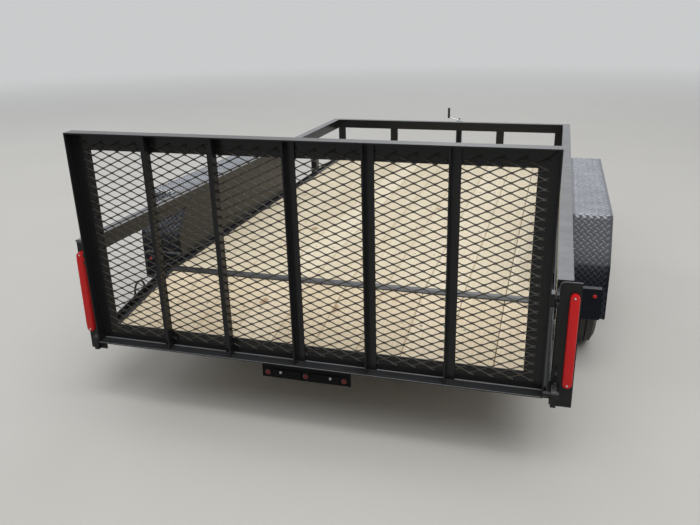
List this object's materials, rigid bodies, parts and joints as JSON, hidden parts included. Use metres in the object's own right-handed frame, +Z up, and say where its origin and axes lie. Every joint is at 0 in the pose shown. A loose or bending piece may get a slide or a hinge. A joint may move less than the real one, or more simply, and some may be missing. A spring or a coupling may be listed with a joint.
{
  "type": "utility trailer",
  "caption": "Flat board-deck utility trailer with angle-iron top rails, treadplate fenders, dovetail and fold-down mesh ramp gate, parked on its tongue jack.",
  "frame": {"origin": "on the floor under the middle of the whole trailer, gate up", "axes": "+Y forward to the coupler, +X to the trailer's right, +Z up"},
  "size_m": [2.41, 5.0086, 1.2252],
  "materials": {
    "black_paint": "gloss black paint on steel",
    "treadplate": "gloss black paint on raised treadplate",
    "treated_pine": "new treated pine boards",
    "tyre_rubber": "black rubber",
    "wheel_paint": "silver paint",
    "zinc": "bright zinc plate",
    "red_lens": "red lamp lens",
    "amber_lens": "amber lamp lens"
  },
  "bodies": {
    "gate": {"gate_frame": "black_paint", "gate_mesh": "black_paint", "gate_uprights": "black_paint"},
    "jack": {"jack_leg": "zinc"},
    "wheel_rear_left": {"tyre_rear_left": "tyre_rubber", "rim_rear_left": "wheel_paint"},
    "wheel_rear_right": {"tyre_rear_right": "tyre_rubber", "rim_rear_right": "wheel_paint"},
    "wheel_front_left": {"tyre_front_left": "tyre_rubber", "rim_front_left": "wheel_paint"},
    "wheel_front_right": {"tyre_front_right": "tyre_rubber", "rim_front_right": "wheel_paint"},
    "chassis": {"axle_front": "black_paint", "axle_rear": "black_paint", "bend_strap": "black_paint", "clearance_lamps": "red_lens", "coupler": "zinc", "coupler_lever": "zinc", "crossmembers": "black_paint", "deck_boards": "treated_pine", "dovetail_boards": "treated_pine", "edge_bars": "black_paint", "equalizers": "black_paint", "fender_backs": "black_paint", "fender_left": "treadplate", "fender_right": "treadplate", "frame_front": "black_paint", "frame_side_left": "black_paint", "frame_side_right": "black_paint", "frame_tail": "black_paint", "front_marker_lamps": "amber_lens", "hinge_ears": "black_paint", "id_lamp_bar": "black_paint", "jack_crank": "zinc", "jack_plate": "black_paint", "jack_tube": "black_paint", "rear_post_left": "black_paint", "rear_post_right": "black_paint", "spring_hangers": "black_paint", "springs": "black_paint", "tail_lamps": "red_lens", "tie_down_loops": "black_paint", "tongue_left": "black_paint", "tongue_right": "black_paint", "top_rail_front": "black_paint", "top_rail_left": "black_paint", "top_rail_right": "black_paint", "uprights": "black_paint"}
  },
  "joints": [
    {"name": "gate_hinge", "type": "hinge", "parent": "chassis", "child": "gate", "pos_m": [0.0195, -2.42566, 0.305], "axis": [1, 0, 0], "range_deg": [0, 104]},
    {"name": "jack_slide", "type": "slide", "parent": "chassis", "child": "jack", "axis": [0, 0, 1], "range_m": [0, 0.25]},
    {"name": "wheel_rear_left_spin", "type": "hinge", "parent": "chassis", "child": "wheel_rear_left", "pos_m": [-1.089, -1.19366, 0.3445], "axis": [1, 0, 0], "continuous": true},
    {"name": "wheel_rear_right_spin", "type": "hinge", "parent": "chassis", "child": "wheel_rear_right", "pos_m": [1.089, -1.19366, 0.3445], "axis": [1, 0, 0], "continuous": true},
    {"name": "wheel_front_left_spin", "type": "hinge", "parent": "chassis", "child": "wheel_front_left", "pos_m": [-1.089, -0.35566, 0.3445], "axis": [1, 0, 0], "continuous": true},
    {"name": "wheel_front_right_spin", "type": "hinge", "parent": "chassis", "child": "wheel_front_right", "pos_m": [1.089, -0.35566, 0.3445], "axis": [1, 0, 0], "continuous": true}
  ]
}
